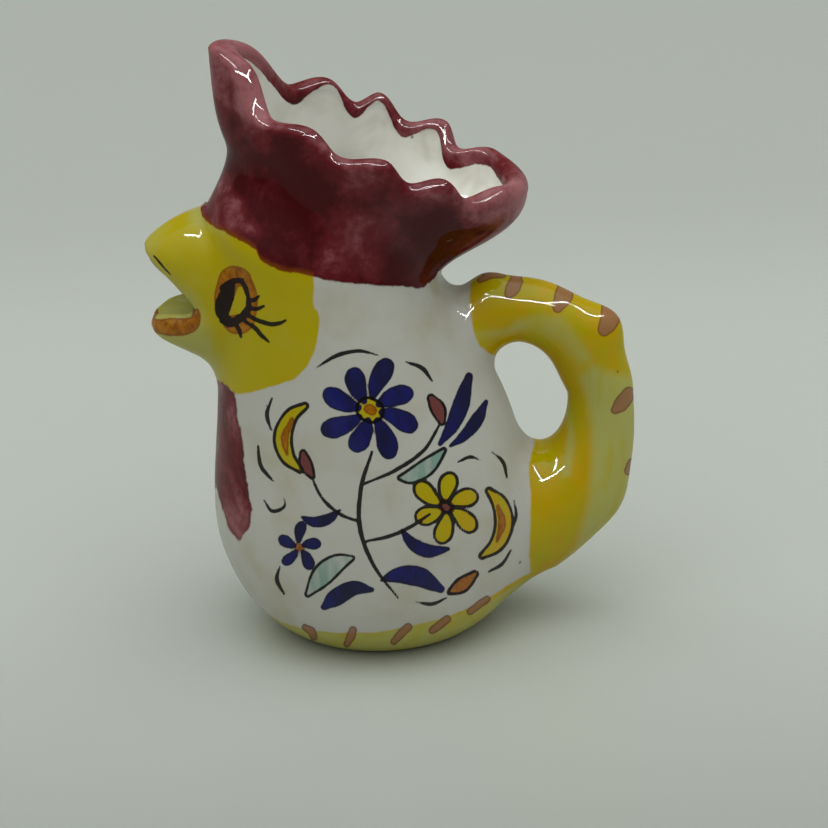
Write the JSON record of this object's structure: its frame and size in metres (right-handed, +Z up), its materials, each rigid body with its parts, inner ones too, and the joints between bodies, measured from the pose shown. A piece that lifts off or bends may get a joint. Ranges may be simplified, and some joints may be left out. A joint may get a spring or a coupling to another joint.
{
  "type": "pitcher",
  "caption": "Small rooster-shaped earthenware pitcher with a crimped comb as its mouth, an open pouring beak and a horn-shaped tail as its handle.",
  "frame": {"origin": "centre of the flat face that the pitcher stands on", "axes": "+Z up; -X towards the beak, +X towards the tail handle; +Y towards the bird's right side"},
  "size_m": [0.1077, 0.07, 0.1379],
  "materials": {
    "white_glaze": "glossy white tin glaze with painted decoration",
    "comb_glaze": "glossy, brushed maroon over white",
    "beak_glaze": "glossy, brushed yellow",
    "tail_glaze": "glossy, brushed yellow with brown dashes",
    "foot_glaze": "glossy, with a bare underside"
  },
  "bodies": {
    "root": {"foot": "foot_glaze", "body": "white_glaze", "comb": "comb_glaze", "upper_beak": "beak_glaze", "lower_beak": "beak_glaze", "tail_handle": "tail_glaze"}
  },
  "joints": []
}
